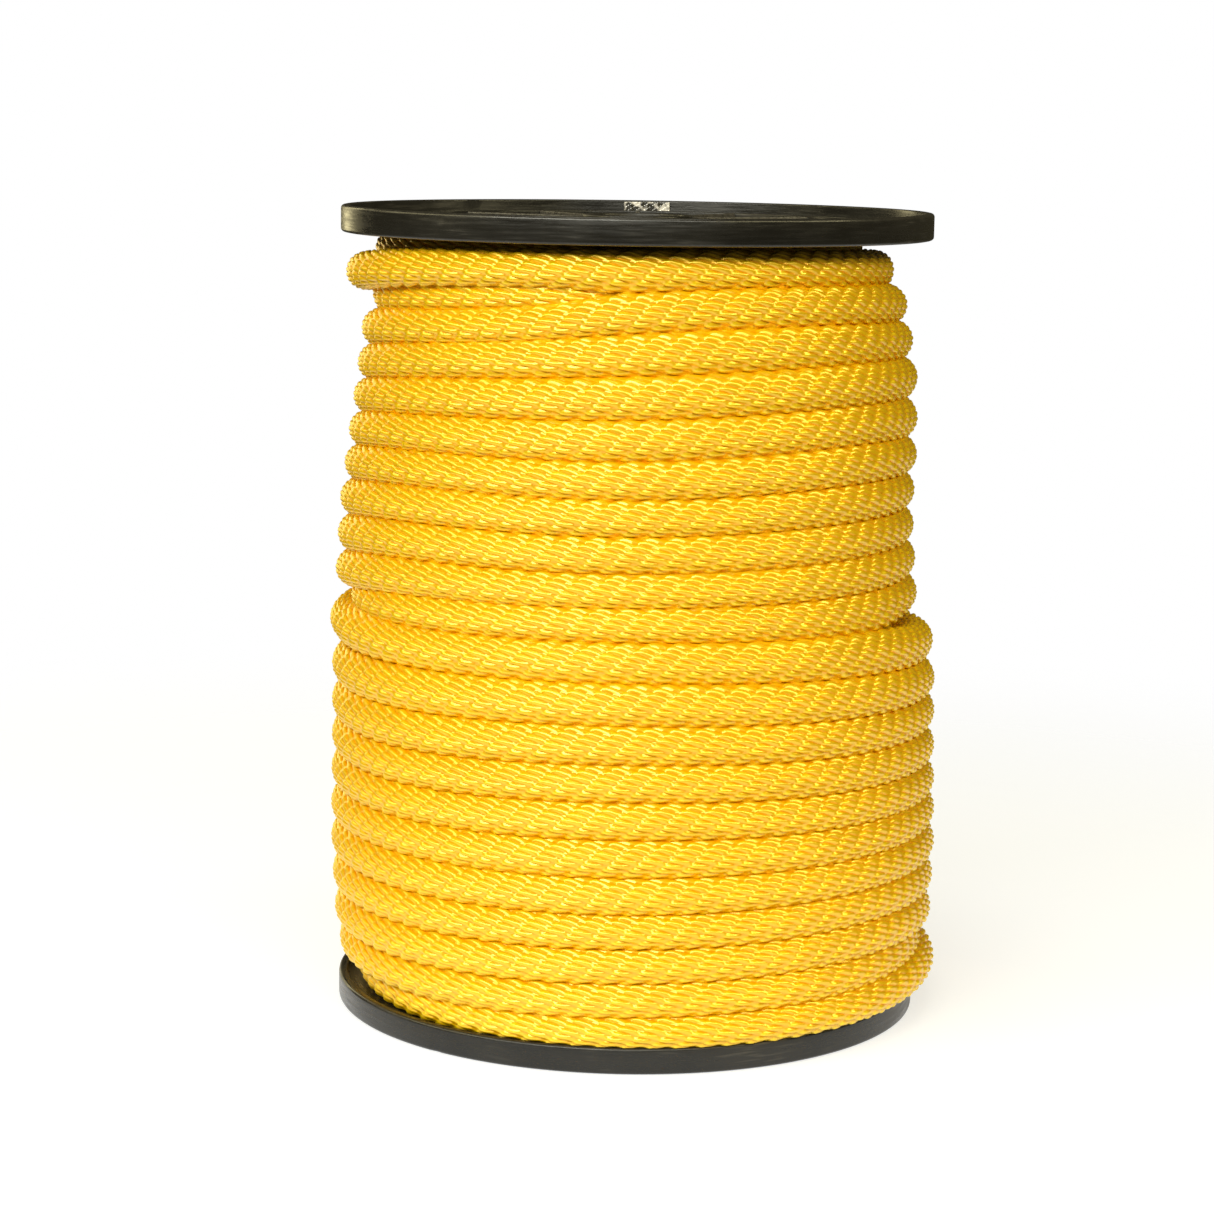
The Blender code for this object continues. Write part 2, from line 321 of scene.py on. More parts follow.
def add_light():
    """A studio that looks white but lights the reel only a little, and its soft boxes."""
    world = bpy.data.worlds.new("studio")
    world.use_nodes = True
    tree = world.node_tree
    fill = tree.nodes["Background"]
    fill.inputs["Color"].default_value = (*WARM, 1)
    fill.inputs["Strength"].default_value = WORLD_FILL
    seen = tree.nodes.new("ShaderNodeBackground")
    seen.inputs["Color"].default_value = (1, 1, 1, 1)
    seen.inputs["Strength"].default_value = 1
    rays = tree.nodes.new("ShaderNodeLightPath")
    mix = tree.nodes.new("ShaderNodeMixShader")
    tree.links.new(rays.outputs["Is Camera Ray"], mix.inputs["Fac"])
    tree.links.new(fill.outputs["Background"], mix.inputs[1])
    tree.links.new(seen.outputs["Background"], mix.inputs[2])
    tree.links.new(mix.outputs["Shader"], tree.nodes["World Output"].inputs["Surface"])
    bpy.context.scene.world = world
    for light in SOFT_BOXES:
        add_area_light(*light)
    for azimuth, power, colour in STRIPS:
        x = STRIP_DISTANCE * math.sin(math.radians(azimuth))
        y = -STRIP_DISTANCE * math.cos(math.radians(azimuth))
        add_area_light(f"strip_{azimuth}", (x, y, STRIP_HEIGHT), STRIP_SIZE, power, colour)
    bpy.context.scene.view_settings.view_transform = "Standard"


def add_floor():
    """A pale round floor that fades out into the white round it."""
    bm = bmesh.new()
    bmesh.ops.create_circle(bm, cap_ends=True, segments=96, radius=FLOOR_RADIUS)
    mesh = bpy.data.meshes.new("floor")
    bm.to_mesh(mesh)
    bm.free()
    floor = add_object("floor", mesh)
    floor.location.z = REEL_LOW - FLOOR_DROP
    paint = Nodes("floor_paint")
    away = paint.add("VectorMath", {"operation": "LENGTH"}, Vector=paint.position())
    fade = paint.add("MapRange", {"interpolation_type": "SMOOTHSTEP"}, Value=away.outputs["Value"],
                     From_Min=FLOOR_RADIUS * FLOOR_WHOLE, From_Max=FLOOR_RADIUS, To_Min=1, To_Max=0)
    paint.set(Base_Color=(*FLOOR_COLOUR, 1), Roughness=0.7, Specular_IOR_Level=0.1,
              Emission_Color=(1, 1, 1, 1), Emission_Strength=FLOOR_GLOW,
              Alpha=fade.outputs["Result"])
    mesh.materials.append(paint.material)


# ---------------------------------------------------------------- the rope's route


def read(stations, at, index=1):
    """The stations' values in one column, at places between them."""
    knots = np.array(stations)
    return np.interp(at, knots[:, 0], knots[:, index])


def smooth_step(t):
    t = np.clip(t, 0, 1)
    return t * t * (3 - 2 * t)


def through(stations, degrees):
    """The smooth curve through the stations, at an array of angles: its radii and heights."""
    knots = np.array(stations)
    slopes = np.gradient(knots[:, 1:], knots[:, 0], axis=0)
    i = np.clip(np.searchsorted(knots[:, 0], degrees, side="right") - 1, 0, len(knots) - 2)
    span = (knots[i + 1, 0] - knots[i, 0])[:, None]
    t = (degrees - knots[i, 0])[:, None] / span
    here, there = knots[i, 1:], knots[i + 1, 1:]
    curve = (2 * t**3 - 3 * t**2 + 1) * here + (3 * t**2 - 2 * t**3) * there
    curve += (t**3 - 2 * t**2 + t) * slopes[i] * span + (t**3 - t**2) * slopes[i + 1] * span
    return curve[:, 0], curve[:, 1]


def outer_radius(degrees, height):
    """The winding's outside at a height, to the rope's centreline."""
    mean = read(OUTLINE, height / MM)
    lean = read(OUTLINE, height / MM, 2)
    return (mean + lean * np.cos(np.radians(degrees))) * MM - ROPE_DIAMETER / 2


def outer_layer():
    """The sixth layer: its angles, which end below the last turns, its heights, and how far it
    is pushed outwards."""
    turns = len(TURN_HEIGHTS)
    first = -360 * turns
    stations = [(first + OUTER_START, TURN_HEIGHTS[0][0] * MM, 0)]
    for turn, row in enumerate(TURN_HEIGHTS):
        stations += [(first + 360 * turn + a, z * MM, 0) for a, z in zip(TURN_ANGLES, row)]
    stations.append((OUTER_END_ROUTE[1][0], OUTER_END_ROUTE[1][2], 0))
    angles = np.arange(first + OUTER_START, OUTER_END_ROUTE[0][0], STEP, dtype=float)
    heights, outwards = through(stations, angles)
    for turn, middle, spread, out in PUSHES:
        away = angles - (first + 360 * turn + middle)
        outwards += out * MM * np.exp(-((away / spread) ** 2))
    return angles, heights, outwards


def hidden_layer(end, low, high, up, turns):
    """One hidden layer that ends at an angle: its angles and heights."""
    count = round(turns * 360 / STEP)
    angles = end - STEP * np.arange(count, 0, -1.0)
    share = (np.arange(count) + 0.5) / count
    return angles, low + (high - low) * (share if up else 1 - share)


def hidden_layers(outer_start):
    """Layers one to five, wound down, up, down, up and down again, and the span of angles in
    which the fifth layer's first turn shows under the upper flange."""
    turns = (INNER_HIGH - INNER_LOW) / HIDDEN_PITCH
    drop_from, drop_to = TOP_TURN_DROP
    fifth_turns = math.floor((FIFTH_LAYER_HIGH - INNER_LOW) / HIDDEN_PITCH)
    fifth_turns += (outer_start - drop_to) % 360 / 360
    fifth = hidden_layer(outer_start, INNER_LOW, FIFTH_LAYER_HIGH, False, fifth_turns)
    dropped = fifth[0][0]
    shows_from = dropped - (drop_to - drop_from) - TOP_TURN_LEVEL
    angles = np.arange(shows_from, dropped, STEP)
    fall = smooth_step(1 - (dropped - angles) / (drop_to - drop_from))
    heights = TOP_TURN_HEIGHT + (FIFTH_LAYER_HIGH - TOP_TURN_HEIGHT) * fall
    parts = [(angles, heights, 5), (*fifth, 5)]
    for layer in (4, 3, 2):
        end = parts[0][0][0]
        hidden = hidden_layer(end, INNER_LOW, INNER_HIGH, layer % 2 == 0, turns)
        parts.insert(0, (*hidden, layer))
    end = parts[0][0][0]
    first_turns = math.floor(turns) + (end - INNER_END_ROUTE[-1][0]) % 360 / 360
    hidden = hidden_layer(end, INNER_LOW, INNER_END_ROUTE[-1][2], False, first_turns)
    parts.insert(0, (*hidden, 1))
    return parts, (shows_from, dropped)


def blurred(values):
    """A running average, which rounds off every corner in how the rope lies."""
    reach = 3 * SMOOTHING // STEP
    weights = np.exp(-((np.arange(-reach, reach + 1) * STEP / SMOOTHING) ** 2))
    padded = np.concatenate([np.full(reach, values[0]), values, np.full(reach, values[-1])])
    return np.convolve(padded, weights / weights.sum(), "valid")


def wound_rope():
    """The whole rope's centreline from its first end: angles, radii and heights. Then the two
    spans of angles in which it is braided, because it shows there."""
    outer_angles, outer_heights, outwards = outer_layer()
    parts, top_turn = hidden_layers(outer_angles[0])
    angles = np.concatenate([part[0] for part in parts] + [outer_angles])
    heights = np.concatenate([part[1] for part in parts] + [outer_heights])
    layer = [np.full(len(part[0]), float(part[2])) for part in parts]
    layer = np.concatenate(layer + [np.full(len(outer_angles), float(LAYERS))])
    pushed = np.concatenate([np.zeros(len(angles) - len(outwards)), outwards])
    change = np.ones(2 * LAYER_CHANGE // STEP + 1)
    padded = np.pad(layer, len(change) // 2, mode="edge")
    layer = np.convolve(padded, change / change.sum(), "valid")
    outside = outer_radius(angles, heights)
    radii = FIRST_LAYER_RADIUS + (outside - FIRST_LAYER_RADIUS) * (layer - 1) / (LAYERS - 1)
    radii, heights = blurred(radii + pushed), blurred(heights)
    inner_at = np.arange(INNER_END_ROUTE[0][0], INNER_END_ROUTE[-1][0] + STEP / 4, STEP / 2)
    outer_at = np.arange(OUTER_END_ROUTE[0][0], OUTER_END_ROUTE[-1][0] + STEP / 2, STEP)
    inner = through(INNER_END_ROUTE, inner_at)
    outer = through(OUTER_END_ROUTE, outer_at)
    settled = slice(SETTLING // STEP, None)
    line = (
        np.concatenate([inner_at + angles[0] - inner_at[-1], angles[settled], outer_at]),
        np.concatenate([inner[0], radii[settled], outer[0]]),
        np.concatenate([inner[1], heights[settled], outer[1]]),
    )
    shows = (top_turn, (outer_angles[0] - BRAIDED_BEFORE, outer_at[-1]))
    return line, shows


def point_on(angles, radii, heights):
    around = np.radians(angles)
    return np.stack([radii * np.cos(around), radii * np.sin(around), heights], axis=1)


def distances(points):
    """How far along the line each of its points lies."""
    steps = np.linalg.norm(np.diff(points, axis=0), axis=1)
    return np.concatenate([[0], np.cumsum(steps)])


# ---------------------------------------------------------------- the rope's mesh


def stitch_height(across, along):
    """The height of a stitch over the valleys, from 0 to 1. across is -0.5 to 0.5 of a ridge and
    along is 0 to 1 of the stitch, from the end that comes out over its neighbour."""
    head = HEAD_LOW + (1 - HEAD_LOW) * np.clip(along / HEAD_LENGTH, 0, 1)
    tail = 1 - (1 - TAIL_LOW) * smooth_step((along - TAIL_START) / (1 - TAIL_START))
    return head * tail * (1 - (2 * np.abs(across)) ** CREST_BREADTH)


def painted_light_at(across, along):
    """Painted light on a stitch: 0 a painted highlight at its head, 1 painted shade between
    stitches.
    """
    side = (2 * np.abs(across)) ** 4
    end = SHADED_HEAD * (1 - smooth_step(along / SHADED_HEAD_LENGTH))
    end += SHADED_TAIL * smooth_step((along - SHADED_TAIL_START) / (1 - SHADED_TAIL_START))
    # A painted highlight just behind each stitch's head.
    painted_highlight = np.exp(-(((along - PAINTED_HIGHLIGHT_PLACE) / PAINTED_HIGHLIGHT_SPREAD) ** 2)) * (1 - side)
    return np.clip(BODY_SHADE * (1 - painted_highlight) + (1 - BODY_SHADE) * (side + end), 0, 1)


def scattered(stitch, ridge):
    """A number from 0 to 1 for each stitch, in no order."""
    number = stitch * SCATTER[0] + ridge * SCATTER[1]
    return np.modf(np.abs(np.sin(number) * SCATTER[2]))[0]


def beside(line, at):
    """The other turns at the angle of each ring: how far away the nearest are, and where, as
    angles in the ring's plane from outwards towards upwards."""
    angles, radii, heights = line
    turns = np.arange(math.ceil((angles[-1] - angles[0]) / 360) + 1)
    crossing = ((at[0] - angles[0]) % 360 + angles[0])[:, None] + 360 * turns
    out = np.interp(crossing, angles, radii) - at[1][:, None]
    up = np.interp(crossing, angles, heights) - at[2][:, None]
    away = np.hypot(out, up)
    away[(np.abs(crossing - at[0][:, None]) < 180) | (crossing > angles[-1])] = 1
    nearest = np.argsort(away, axis=1)[:, :NEIGHBOURS]
    toward = np.take_along_axis(np.arctan2(up, out), nearest, 1)
    return np.take_along_axis(away, nearest, 1), toward


def pressed(line, at, around):
    """The body's radius in each column, and how much of the stitches' depth is left there. A
    turn spreads a little to meet a neighbour that lies off, and is flat where one presses."""
    away, toward = beside(line, at)
    half = away[:, None, :] / 2
    facing = np.cos(around[:, :, None] - toward[:, None, :])
    spread = np.clip(half + PRESSED_INTO - BODY_RADIUS, 0, WIDEST_SPREAD)
    spread *= 1 - smooth_step((half - BODY_RADIUS - SPREAD_FADES[0]) / SPREAD_FADES[1])
    free = BODY_RADIUS + (spread * np.clip(facing, 0, 1) ** 3).max(axis=2)
    touch = ((half + PRESSED_INTO) / np.maximum(facing, LEAST_FACING)).min(axis=2)
    relief = SQUEEZED_RELIEF + (1 - SQUEEZED_RELIEF) * smooth_step((touch - free) / RELIEF_RETURNS)
    return np.minimum(free, touch), relief


def rings_at(line, places, columns):
    """Rings at distances along the rope: their centres, the direction of every column from them,
    the body's radius in every column and what is left of the stitches' depth there."""
    centreline = distances(point_on(*line))
    at = [np.interp(places, centreline, values) for values in line]
    centres = point_on(*at)
    tangents = np.gradient(centres, axis=0)
    tangents /= np.linalg.norm(tangents, axis=1)[:, None]
    outward = point_on(at[0], np.ones(len(places)), np.zeros(len(places)))
    outward -= (outward * tangents).sum(1)[:, None] * tangents
    outward /= np.linalg.norm(outward, axis=1)[:, None]
    upward = np.cross(outward, tangents)
    twist = places * math.tan(RIDGE_SLOPE) / BODY_RADIUS
    around = 2 * math.pi * np.arange(columns)[None, :] / columns - twist[:, None]
    spokes = np.cos(around)[..., None] * outward[:, None]
    spokes = spokes + np.sin(around)[..., None] * upward[:, None]
    return centres[:, None], spokes, *pressed(line, at, around)


def plain_rings(line, places):
    """The points of hidden rope, which is a bare tube, with their painted light and tone."""
    centres, spokes, body, _ = rings_at(line, places, COARSE_COLUMNS)
    points = centres + np.minimum(body, BODY_RADIUS)[..., None] * spokes
    return points, np.zeros(points.shape[:2]), np.zeros(points.shape[:2])


def braided_rings(line, places):
    """The points of braided rope, with their painted light and tone. Each ridge's stitches start a
    third of a stitch after its neighbour's."""
    columns = RIDGES * COLUMNS_PER_RIDGE
    centres, spokes, body, relief = rings_at(line, places, columns)
    ridge = (np.arange(columns) / COLUMNS_PER_RIDGE)[None, :]
    across = ridge % 1 - 0.5
    along = (places / STITCH_LENGTH)[:, None] - np.floor(ridge) / 3 - HEAD_SLANT * across
    across = np.broadcast_to(across, along.shape)
    height = stitch_height(across, along % 1)
    radius = body + (STITCH_CREST - STITCH_DEPTH * (1 - height)) * relief
    tone = scattered(np.floor(along), np.floor(ridge))
    return centres + radius[..., None] * spokes, painted_light_at(across, along % 1), tone


def tube_quads(first, rings, columns):
    """The faces of a tube whose points start at the one numbered first."""
    ring = np.arange(rings - 1)[:, None] * columns + first
    here = np.arange(columns)[None, :]
    there = (here + 1) % columns
    corners = [ring + here, ring + there, ring + columns + there, ring + columns + here]
    return np.stack(corners, axis=-1).reshape(-1, 4)


def collar(coarse_first, fine_first, fine_columns, coarse_is_before):
    """The ring of faces that joins a plain section's last ring to a braided one's first."""
    step = fine_columns // COARSE_COLUMNS
    faces = []
    for i in range(COARSE_COLUMNS):
        coarse = [coarse_first + i, coarse_first + (i + 1) % COARSE_COLUMNS]
        fine = [fine_first + (i * step + n) % fine_columns for n in range(step + 1)]
        face = [*coarse, *fine[::-1]]
        faces.append(face if coarse_is_before else face[::-1])
    return faces


def mesh_from(name, points, quads, other_faces):
    """A mesh of very many quads and a few faces with more corners."""
    mesh = bpy.data.meshes.new(name)
    mesh.vertices.add(len(points))
    mesh.vertices.foreach_set("co", points.astype(np.float32).ravel())
    corners = np.concatenate([quads.ravel(), *[np.array(face) for face in other_faces]])
    sizes = np.concatenate([np.full(len(quads), 4), [len(face) for face in other_faces]])
    mesh.loops.add(len(corners))
    mesh.loops.foreach_set("vertex_index", corners.astype(np.int32))
    mesh.polygons.add(len(sizes))
    starts = np.concatenate([[0], np.cumsum(sizes)[:-1]])
    mesh.polygons.foreach_set("loop_start", starts.astype(np.int32))
    mesh.update(calc_edges=True)
    return mesh


def clear_of_reel(points):
    """Rope that is pressed against the flanges stops at them."""
    radii = np.hypot(points[:, 0], points[:, 1])
    low = np.where(radii > RIM_INSIDE - GAP, RIM_HEIGHT + GAP, WEB_INNER_FACE + GAP)
    points[:, 2] = np.clip(points[:, 2], low, REEL_HEIGHT - WEB_INNER_FACE - GAP)


def make_rope(material):
    """The whole rope as one closed mesh: plain, braided, plain and braided again. With it come
    the points of its centreline and its length."""
    line, shows = wound_rope()
    centreline = distances(point_on(*line))
    edges = [np.interp(angle, line[0], centreline) for span in shows for angle in span]
    length = centreline[-1]
    fine_columns = RIDGES * COLUMNS_PER_RIDGE
    ring_step = STITCH_LENGTH / RINGS_PER_STITCH
    sections, counted = [], 0
    start = 0
    for number, end in enumerate([*edges[:3], length]):
        braided = number % 2 == 1
        step, columns = (ring_step, fine_columns) if braided else (COARSE_RING, COARSE_COLUMNS)
        places = np.linspace(start, end, round((end - start) / step))
        rings = braided_rings(line, places) if braided else plain_rings(line, places)
        sections.append((*rings, counted, columns, len(places)))
        counted += columns * len(places)
        start = end + ring_step
    points = np.concatenate([section[0].reshape(-1, 3) for section in sections])
    clear_of_reel(points)
    quads = np.concatenate([tube_quads(first, rings, columns)
                            for *_, first, columns, rings in sections])
    others = [list(range(COARSE_COLUMNS))[::-1], list(range(counted - fine_columns, counted))]
    for before, after in zip(sections, sections[1:]):
        last_ring = before[3] + before[4] * (before[5] - 1)
        if before[4] == COARSE_COLUMNS:
            others += collar(last_ring, after[3], fine_columns, True)
        else:
            others += collar(after[3], last_ring, fine_columns, False)
    mesh = mesh_from("rope", points, quads, others)
    mesh.shade_smooth()
    mesh.set_sharp_from_angle(angle=CREASE_ANGLE)
    # Each point's painted light (a highlight at stitch heads, shade between stitches) and each
    # stitch's random tone.
    for index, name in ((1, "painted_light"), (2, "tone")):
        values = np.concatenate([section[index].ravel() for section in sections])
        attribute = mesh.attributes.new(name, "FLOAT", "POINT")
        attribute.data.foreach_set("value", values.astype(np.float32))
    mesh.materials.append(material)
    return add_object("rope", mesh), point_on(*line), length


# ---------------------------------------------------------------- the reel


def arc(centre, radius, start, end, steps=4):
    """Points of a rounded edge in a section, between two angles in degrees."""
    turn = np.radians(np.linspace(start, end, steps + 1))
    return [(centre[0] + radius * math.cos(a), centre[1] + radius * math.sin(a)) for a in turn]


def flange_section():
    """Round the flange's section, as radius and height above its outer edge."""
    arbor, hub = ARBOR_RADIUS, ARBOR_RADIUS + HUB_RIB_WALL
    ring, ring_out = RING_RIB_RADIUS, RING_RIB_RADIUS + RING_RIB_WALL
    soft, fine = RIM_ROUNDING, RIB_ROUNDING
    points = arc((FLANGE_RADIUS - soft, soft), soft, -90, 0)
    points += arc((FLANGE_RADIUS - soft, RIM_HEIGHT - soft), soft, 0, 90)
    points += arc((RIM_INSIDE + fine, RIM_HEIGHT - fine), fine, 90, 180)
    points += [(RIM_INSIDE, WEB_INNER_FACE), (arbor, WEB_INNER_FACE)]
    points += arc((arbor + fine, HUB_RIB_TOP + fine), fine, 180, 270)
    points += arc((hub - fine, HUB_RIB_TOP + fine), fine, 270, 360)
    points += [(hub, WEB_OUTER_FACE), (ring, WEB_OUTER_FACE)]
    points += arc((ring + fine, RING_RIB_TOP + fine), fine, 180, 270)
    points += arc((ring_out - fine, RING_RIB_TOP + fine), fine, 270, 360)
    points += [(ring_out, WEB_OUTER_FACE)]
    points += arc((RIM_INSIDE - fine, WEB_OUTER_FACE - fine), fine, 90, 0)
    points += arc((RIM_INSIDE + fine, fine), fine, 180, 270)
    return points


def add_turned(bm, section, segments, place):
    """Turns a closed section about Z. place moves every point of it."""
    rings = []
    for segment in range(segments):
        angle = 2 * math.pi * segment / segments
        out = (math.cos(angle), math.sin(angle))
        rings.append([bm.verts.new(place(r * out[0], r * out[1], z)) for r, z in section])
    for here, there in zip(rings, rings[1:] + rings[:1]):
        for i in range(len(section)):
            j = (i + 1) % len(section)
            bm.faces.new((here[i], here[j], there[j], there[i]))


def add_block(bm, lower, upper):
    """A closed block between two rings of points."""
    rings = [[bm.verts.new(p) for p in ring] for ring in (lower, upper)]
    count = len(lower)
    for i in range(count):
        j = (i + 1) % count
        bm.faces.new((rings[0][i], rings[0][j], rings[1][j], rings[1][i]))
    bm.faces.new(rings[0][::-1])
    bm.faces.new(rings[1])


def add_spoke(bm, angle, place):
    """A straight rib with a rounded crest, from the hub to the ring rib."""
    out = Vector((math.cos(angle), math.sin(angle), 0))
    side = Vector((-out.y, out.x, 0))
    half, soft = SPOKE_WIDTH / 2, RIB_ROUNDING
    section = [(-half, WEB_OUTER_FACE + GAP), (half, WEB_OUTER_FACE + GAP)]
    section += arc((half - soft, SPOKE_TOP + soft), soft, 0, -90)
    section += arc((-half + soft, SPOKE_TOP + soft), soft, -90, -180)
    ends = (ARBOR_RADIUS + HUB_RIB_WALL - GAP, RING_RIB_RADIUS + GAP)
    add_block(bm, *[[place(*(out * end + side * s + Vector((0, 0, z)))) for s, z in section]
                    for end in ends])


def add_arc_block(bm, middle, half_angle, radii, heights, place):
    """A closed block between two radii and two heights, curved about Z."""
    angles = np.radians(np.linspace(middle - half_angle, middle + half_angle, ARC_STEPS + 1))
    edge = [(radii[0], a) for a in angles] + [(radii[1], a) for a in angles[::-1]]
    add_block(bm, *[[place(r * math.cos(a), r * math.sin(a), z) for r, a in edge]
                    for z in heights])


def nicked(x, y, z):
    """Small dents on the flange's outer edges, where it has been knocked."""
    angle = math.degrees(math.atan2(y, x)) % 360
    radius = math.hypot(x, y)
    for middle, spread, height, reach, depth in NICKS:
        away = (angle - middle + 180) % 360 - 180
        near = math.exp(-((away / spread) ** 2) - (((z - height) / reach) ** 2))
        if radius > RIM_INSIDE:
            radius -= depth * near
    scale = radius / max(math.hypot(x, y), GAP)
    return x * scale, y * scale, z


def shaded_object(name, bm, material, crease=None):
    """The object of a finished BMesh, shaded smooth but for creases sharper than an angle."""
    bmesh.ops.recalc_face_normals(bm, faces=bm.faces[:])
    mesh = bpy.data.meshes.new(name)
    bm.to_mesh(mesh)
    bm.free()
    mesh.materials.append(material)
    mesh.shade_smooth()
    if crease is not None:
        mesh.set_sharp_from_angle(angle=crease)
    return add_object(name, mesh)


def make_flange(name, upper, material):
    """A flange with its ribs and fingers. The upper one is the lower one turned over."""
    def place(x, y, z):
        x, y, z = nicked(x, y, z)
        return (x, -y, REEL_HIGH - z) if upper else (x, y, REEL_LOW + z)

    bm = bmesh.new()
    add_turned(bm, flange_section(), FLANGE_SEGMENTS, place)
    for i in range(SPOKES):
        add_spoke(bm, 2 * math.pi * i / SPOKES, place)
    outside = BARREL_RADIUS - BARREL_WALL - FINGER_GAP
    for i in range(FINGERS):
        middle = FIRST_FINGER + 360 / FINGERS * i
        radii, heights = (outside - FINGER_WALL, outside), (WEB_INNER_FACE - GAP, FINGER_END)
        add_arc_block(bm, middle, FINGER_HALF_ANGLE, radii, heights, place)
        radii = (outside - GAP, outside + BARB_HEIGHT)
        add_arc_block(bm, middle, BARB_HALF_ANGLE, radii, BARB_SPAN, place)
    return shaded_object(name, bm, material, FLANGE_CREASE)


def crinkle(k, m):
    """How far the tape is crinkled inwards at a place on its grid."""
    waves = 0.16 * math.sin(k * 0.9) + 0.1 * math.sin(k * 0.37 + 1)
    return (waves + 0.08 * math.sin(m * 1.1 + k * 0.6)) * MM


def make_tape(material):
    """A crinkled strip of clear tape stuck to the inside of the upper rim."""
    bm = bmesh.new()
    ends = TAPE_ANGLE - TAPE_HALF_ANGLE, TAPE_ANGLE + TAPE_HALF_ANGLE
    angles = np.radians(np.linspace(*ends, TAPE_COLUMNS))
    low, high = REEL_HIGH - WEB_OUTER_FACE + TAPE_MARGINS[0], REEL_HIGH - TAPE_MARGINS[1]
    heights = np.linspace(low, high, TAPE_ROWS)
    grids = []
    for back in (0, TAPE_THICKNESS):
        grid = []
        for k, angle in enumerate(angles):
            radii = [RIM_INSIDE - TAPE_INSET - crinkle(k, m) - back for m in range(TAPE_ROWS)]
            grid.append([bm.verts.new((radius * math.cos(angle), radius * math.sin(angle), z))
                         for radius, z in zip(radii, heights)])
        grids.append(grid)
    rear, front = grids
    last_column, last_row = TAPE_COLUMNS - 1, TAPE_ROWS - 1
    for k in range(last_column):
        for m in range(last_row):
            for grid, way in ((front, 1), (rear, -1)):
                face = (grid[k][m], grid[k + 1][m], grid[k + 1][m + 1], grid[k][m + 1])
                bm.faces.new(face[::way])
    rim = [(k, 0) for k in range(last_column)]
    rim += [(last_column, m) for m in range(last_row)]
    rim += [(k, last_row) for k in range(last_column, 0, -1)]
    rim += [(0, m) for m in range(last_row, 0, -1)]
    for (k, m), (k2, m2) in zip(rim, rim[1:] + rim[:1]):
        bm.faces.new((front[k2][m2], front[k][m], rear[k][m], rear[k2][m2]))
    return shaded_object("rim_tape_strip", bm, material)


# ---------------------------------------------------------------- materials


class Nodes:
    """Short ways to add the nodes of one material."""

    def __init__(self, name):
        self.material = bpy.data.materials.new(name)
        self.material.use_nodes = True
        self.tree = self.material.node_tree
        self.shader = self.tree.nodes["Principled BSDF"]

    def add(self, kind, settings=(), **inputs):
        """A node with its settings and inputs. An input's name has _ in place of spaces."""
        node = self.tree.nodes.new("ShaderNode" + kind)
        for name, value in dict(settings).items():
            setattr(node, name, value)
        for name, value in inputs.items():
            self.feed(node.inputs[name.replace("_", " ")], value)
        return node

    def feed(self, socket, value):
        """Sets an input to a constant, or links it to another node's output."""
        if isinstance(value, bpy.types.NodeSocket):
            self.tree.links.new(value, socket)
        else:
            socket.default_value = value

    def attribute(self, name):
        return self.add("Attribute", {"attribute_name": name}).outputs["Fac"]

    def position(self):
        return self.add("TexCoord").outputs["Object"]

    def noise(self, scale, detail, vector=None):
        node = self.add("TexNoise", Scale=scale, Detail=detail)
        self.feed(node.inputs["Vector"], vector or self.position())
        return node.outputs["Fac"]

    def ramp(self, value, stops):
        node = self.add("ValToRGB", Fac=value)
        elements = node.color_ramp.elements
        while len(elements) < len(stops):
            elements.new(0.5)
        for element, (place, colour) in zip(elements, stops):
            element.position = place
            element.color = (*colour, 1)
        return node.outputs["Color"]

    def span(self, value, low, high, to_low, to_high):
        node = self.add("MapRange", Value=value, From_Min=low, From_Max=high, To_Min=to_low,
                        To_Max=to_high)
        return node.outputs["Result"]

    def math(self, operation, first, second=0.0):
        node = self.add("Math", {"operation": operation})
        self.feed(node.inputs[0], first)
        self.feed(node.inputs[1], second)
        return node.outputs["Value"]

    def times(self, first, second):
        return self.math("MULTIPLY", first, second)

    def plus(self, first, second):
        return self.math("ADD", first, second)

    def bump(self, height, strength, distance):
        node = self.add("Bump", Height=height, Strength=strength, Distance=distance)
        self.feed(self.shader.inputs["Normal"], node.outputs["Normal"])

    def set(self, **inputs):
        for name, value in inputs.items():
            self.feed(self.shader.inputs[name.replace("_", " ")], value)


def rope_material():
    """Filament yarn: a painted highlight on each stitch's head, and painted shade that deepens the
    colour between stitches.
    """
    made = Nodes("yellow_braid")
    # From a painted highlight, by the yarn's own yellow and a painted half shade, to painted shade.
    stops = ((0, ROPE_PAINTED_HIGHLIGHT), (BODY_SHADE, ROPE_LIGHT), (0.6, ROPE_PAINTED_HALF_SHADE), (1, ROPE_PAINTED_SHADE))
    colour = made.ramp(made.attribute("painted_light"), stops)
    bright = made.span(made.attribute("tone"), 0, 1, 0.94, 1.05)
    vary = made.add("HueSaturation", Value=bright, Color=colour)
    made.set(Base_Color=vary.outputs["Color"], Roughness=0.28, Metallic=0.3, IOR=1.62,
             Specular_IOR_Level=0.9, Specular_Tint=(1.0, 0.96, 0.72, 1))
    return made.material


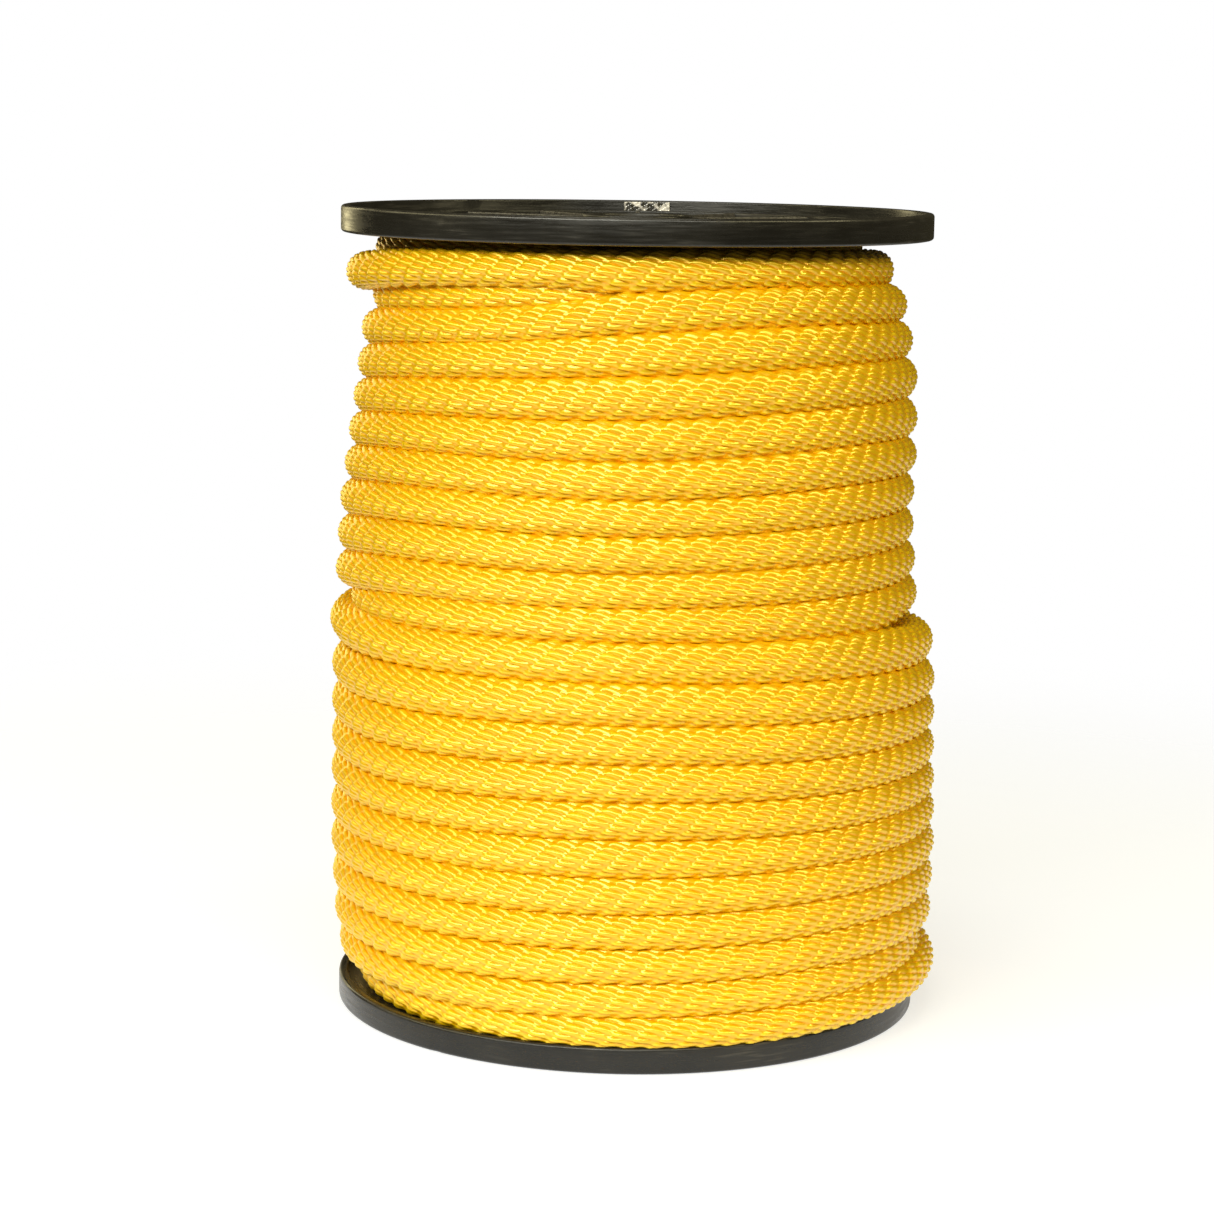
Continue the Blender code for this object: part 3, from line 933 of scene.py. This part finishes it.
def plastic_material(name, roughness):
    """Black moulded plastic, brushed and scuffed round its rims. Its edges are paler, partly from
    wear and partly as a painted highlight.
    """
    made = Nodes(name)
    times, plus = made.times, made.plus
    parts = made.add("SeparateXYZ", Vector=made.position())
    x, y, z = (parts.outputs[axis] for axis in "XYZ")
    round_axis = times(made.math("ARCTAN2", y, x), 0.006)
    out = made.math("SQRT", plus(times(x, x), times(y, y)))
    unrolled = made.add("CombineXYZ", X=round_axis, Y=out, Z=z)
    streaks = made.noise(1100, 3, unrolled.outputs["Vector"])
    cloud = made.noise(28, 4)
    grain = made.noise(900, 2)
    edge_sharpness = made.add("NewGeometry").outputs["Pointiness"]
    base = made.ramp(cloud, ((0.35, PLASTIC_DARK), (0.7, PLASTIC_LIGHT)))
    scuffed = times(made.span(streaks, 0.55, 0.78, 0, 1), made.span(cloud, 0.45, 0.65, 0, 1))
    # Paler edges: partly wear, partly a painted highlight along them.
    edge = times(made.span(edge_sharpness, 0.52, 0.58, 0, 1), made.span(grain, 0.35, 0.6, 0.2, 1))
    pale = made.math("MAXIMUM", times(scuffed, 0.6), times(edge, 0.7))
    colour = made.add("MixRGB", Fac=pale, Color1=base, Color2=(*PLASTIC_WORN_AND_HIGHLIT, 1))
    rough = plus(made.span(cloud, 0.3, 0.7, roughness - 0.07, roughness + 0.1),
                 made.span(streaks, 0.3, 0.75, -0.1, 0.12))
    made.set(Base_Color=colour.outputs["Color"], Roughness=rough, Specular_IOR_Level=0.42,
             Specular_Tint=(0.95, 0.97, 1.0, 1))
    made.bump(plus(streaks, made.span(grain, 0, 1, 0, 0.6)), 0.45, 0.1 * MM)
    return made.material


def tape_material():
    """Clear crinkled film with painted glints: bright patches painted in among dark ones."""
    made = Nodes("clear_film")
    # Dark film with patches of painted glint.
    colour = made.ramp(made.noise(300, 1), ((0.44, FILM_DARK), (0.56, FILM_PAINTED_GLINT)))
    made.set(Base_Color=colour, Roughness=0.12, Specular_IOR_Level=0.8, Coat_Weight=1)
    return made.material


# ---------------------------------------------------------------- assembly


def stands_for(piece, slot, *nodes):
    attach(piece, "root")
    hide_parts(*nodes)


def main():
    add_camera()
    rope, path, length = make_rope(rope_material())
    stands_for(rope, "rope", "rope_winding", "rope_outer_end", "rope_inner_end")
    plastic = plastic_material("black_plastic", 0.29)
    for name, upper in (("bottom_flange", False), ("top_flange", True)):
        flange = make_flange(name + "_moulding", upper, plastic)
        stands_for(flange, "flange_plastic", name)
    stands_for(make_tape(tape_material()), "clear_tape", "rim_tape")
    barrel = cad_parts["core_barrel"]
    barrel.data.materials.clear()
    barrel.data.materials.append(plastic_material("black_barrel_plastic", 0.5))
    add_light()
    add_floor()


main()
